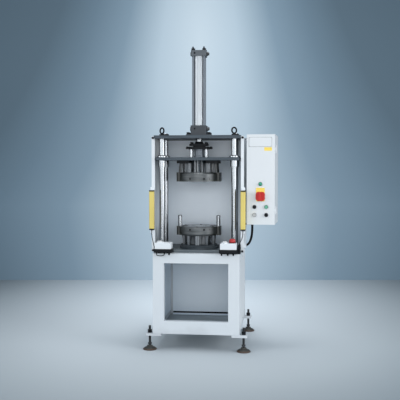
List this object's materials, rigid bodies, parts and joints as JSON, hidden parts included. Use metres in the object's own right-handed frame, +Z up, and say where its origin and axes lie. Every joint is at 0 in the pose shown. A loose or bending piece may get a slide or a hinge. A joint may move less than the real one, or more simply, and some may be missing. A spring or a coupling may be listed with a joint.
{
  "type": "hydraulic press",
  "caption": "Floor-standing four-column hydraulic press on a white welded base, with a die set, side guards, light curtains, hand stations and a side control box.",
  "frame": {"origin": "on the floor, under the middle of the whole press", "axes": "+Z up; +X to the operator's right, towards the control box; +Y from the operator into the press"},
  "size_m": [1.0846, 0.916, 2.468],
  "materials": {
    "white_paint": "white powder coat",
    "grey_sheet": "light grey powder coat",
    "grey_steel": "dark grey coated steel plate",
    "die_steel": "machined and oiled tool steel",
    "black_oxide": "black oxide",
    "chrome": "hard chrome, ground",
    "bright_steel": "zinc plated",
    "galvanised": "galvanised sheet",
    "bronze": "bearing bronze",
    "black_plastic": "moulded black plastic",
    "rubber": "black rubber",
    "curtain_yellow": "yellow powder coat on aluminium",
    "switchgear": "moulded grey plastic",
    "green_plastic": "green plastic",
    "yellow_plastic": "yellow plastic",
    "red_plastic": "red plastic",
    "pale_plastic": "pale grey plastic"
  },
  "bodies": {
    "press_frame": {"base_frame": "white_paint", "base_panels": "white_paint", "base_deck": "white_paint", "guard_left": "white_paint", "guard_right": "white_paint", "curtain_brackets": "white_paint", "station_housings": "white_paint", "box_body": "white_paint", "box_brackets": "white_paint", "back_guard": "grey_sheet", "base_plate": "grey_steel", "top_plate": "grey_steel", "cylinder_lower_cap": "grey_steel", "cylinder_upper_cap": "grey_steel", "lower_die_shoe": "die_steel", "lower_die_posts": "die_steel", "lower_die_ring": "die_steel", "frame_fasteners": "black_oxide", "eye_bolts": "black_oxide", "tie_rods": "black_oxide", "guide_columns": "chrome", "cylinder_tube": "chrome", "lower_die_pins": "chrome", "foot_studs": "bright_steel", "port_fittings": "bright_steel", "box_panel": "galvanised", "rod_gland": "bronze", "guard_knobs": "black_plastic", "curtain_end_caps": "black_plastic", "station_bases": "black_plastic", "cable_glands": "black_plastic", "foot_pads": "rubber", "sensor_cables": "rubber", "box_hose": "rubber", "curtain_housings": "curtain_yellow", "box_modules": "switchgear"},
    "ram": {"piston": "die_steel", "piston_seal": "rubber", "piston_rod": "chrome", "rod_coupling": "die_steel", "coupling_plates": "die_steel", "standoff_pillars": "chrome", "platen": "grey_steel", "guide_bushes": "chrome", "upper_die_strips": "black_oxide", "upper_die_posts": "die_steel", "upper_die_springs": "bright_steel", "upper_die_ring": "die_steel"},
    "door": {"box_door": "white_paint", "button_bezels": "bright_steel", "signal_lamp": "green_plastic", "switch_plate": "yellow_plastic"},
    "main_switch": {"main_switch_handle": "red_plastic"},
    "black_push": {"black_button": "black_plastic"},
    "green_push": {"green_button": "green_plastic"},
    "white_push": {"white_button": "pale_plastic"},
    "selector": {"selector_knob": "black_plastic"},
    "left_palm": {"left_palm_button": "pale_plastic"},
    "right_palm": {"right_palm_button": "pale_plastic"},
    "e_stop": {"e_stop_button": "red_plastic"}
  },
  "joints": [
    {"name": "ram_slide", "type": "slide", "parent": "press_frame", "child": "ram", "axis": [0, 0, -1], "range_m": [0, 0.36]},
    {"name": "door_hinge", "type": "hinge", "parent": "press_frame", "child": "door", "pos_m": [0.52796, -0.28445, 1.3835], "axis": [0, 0, 1], "range_deg": [0, 110]},
    {"name": "main_switch_turn", "type": "hinge", "parent": "door", "child": "main_switch", "pos_m": [0.40554, -0.29881, 1.248], "axis": [-0.0523, -0.9986, 0], "range_deg": [0, 90]},
    {"name": "black_button_push", "type": "slide", "parent": "door", "child": "black_push", "axis": [0.0523, 0.9986, 0], "range_m": [0, 0.003], "stiffness_N_per_m": 600, "springref_m": -0.002},
    {"name": "green_button_push", "type": "slide", "parent": "door", "child": "green_push", "axis": [0.0523, 0.9986, 0], "range_m": [0, 0.003], "stiffness_N_per_m": 600, "springref_m": -0.002},
    {"name": "white_button_push", "type": "slide", "parent": "door", "child": "white_push", "axis": [0.0523, 0.9986, 0], "range_m": [0, 0.003], "stiffness_N_per_m": 600, "springref_m": -0.002},
    {"name": "selector_turn", "type": "hinge", "parent": "door", "child": "selector", "pos_m": [0.45297, -0.30129, 1.098], "axis": [-0.0523, -0.9986, 0], "range_deg": [0, 60]},
    {"name": "left_palm_push", "type": "slide", "parent": "press_frame", "child": "left_palm", "axis": [0, 0, -1], "range_m": [0, 0.004], "stiffness_N_per_m": 800, "springref_m": -0.003},
    {"name": "right_palm_push", "type": "slide", "parent": "press_frame", "child": "right_palm", "axis": [0, 0, -1], "range_m": [0, 0.004], "stiffness_N_per_m": 800, "springref_m": -0.003},
    {"name": "e_stop_push", "type": "slide", "parent": "press_frame", "child": "e_stop", "axis": [0, 0, -1], "range_m": [0, 0.004]}
  ]
}
